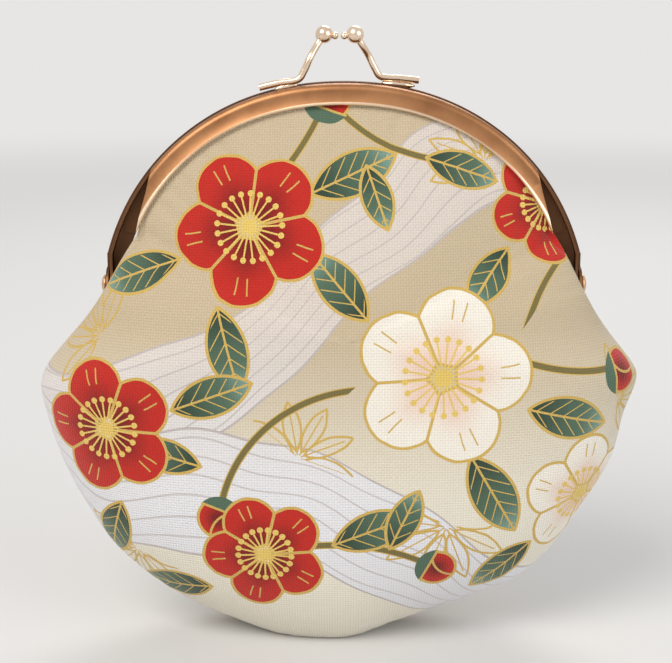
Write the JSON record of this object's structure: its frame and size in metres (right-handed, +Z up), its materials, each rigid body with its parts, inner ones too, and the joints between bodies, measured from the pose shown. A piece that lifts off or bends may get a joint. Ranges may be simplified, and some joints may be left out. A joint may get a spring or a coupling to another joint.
{
  "type": "clasp purse",
  "caption": "Round cloth coin purse with a half-round metal frame that hinges open at both ends and closes with a ball clasp",
  "frame": {"origin": "on the surface that the purse stands on, below the middle of its box", "axes": "+Z up, +X to the right along the frame's hinge axis, front towards -Y"},
  "size_m": [0.109, 0.0348, 0.1103],
  "materials": {
    "frame_gold": "light gold plate, satin",
    "rivet_gold": "light gold plate, polished",
    "clasp_gold": "pale gold plate, polished",
    "printed_cotton": "plain-weave cotton, printed",
    "lining_cotton": "plain-weave cotton, undyed",
    "paper_cord": "twisted kraft paper"
  },
  "bodies": {
    "pouch": {"front_panel": "printed_cotton", "back_panel": "printed_cotton", "front_lining": "lining_cotton", "back_lining": "lining_cotton"},
    "front_jaw": {"front_frame": "frame_gold", "front_clasp_arm": "clasp_gold", "front_paper_cord": "paper_cord", "front_panel_top": "printed_cotton", "front_lining_top": "lining_cotton"},
    "back_jaw": {"back_frame": "frame_gold", "back_clasp_arm": "clasp_gold", "back_paper_cord": "paper_cord", "back_panel_top": "printed_cotton", "back_lining_top": "lining_cotton", "left_rivet": "rivet_gold", "right_rivet": "rivet_gold"}
  },
  "joints": [
    {"name": "front_hinge", "type": "hinge", "parent": "pouch", "child": "front_jaw", "pos_m": [0, 0, 0.06454], "axis": [1, 0, 0], "range_deg": [0, 50], "deforming": ["front_panel_top", "front_lining_top"]},
    {"name": "back_hinge", "type": "hinge", "parent": "pouch", "child": "back_jaw", "pos_m": [0, 0, 0.06454], "axis": [1, 0, 0], "range_deg": [-50, 0], "deforming": ["back_panel_top", "back_lining_top"]}
  ],
  "couplings": [
    {"joint": "back_hinge", "follows": "front_hinge", "ratio": -1}
  ]
}
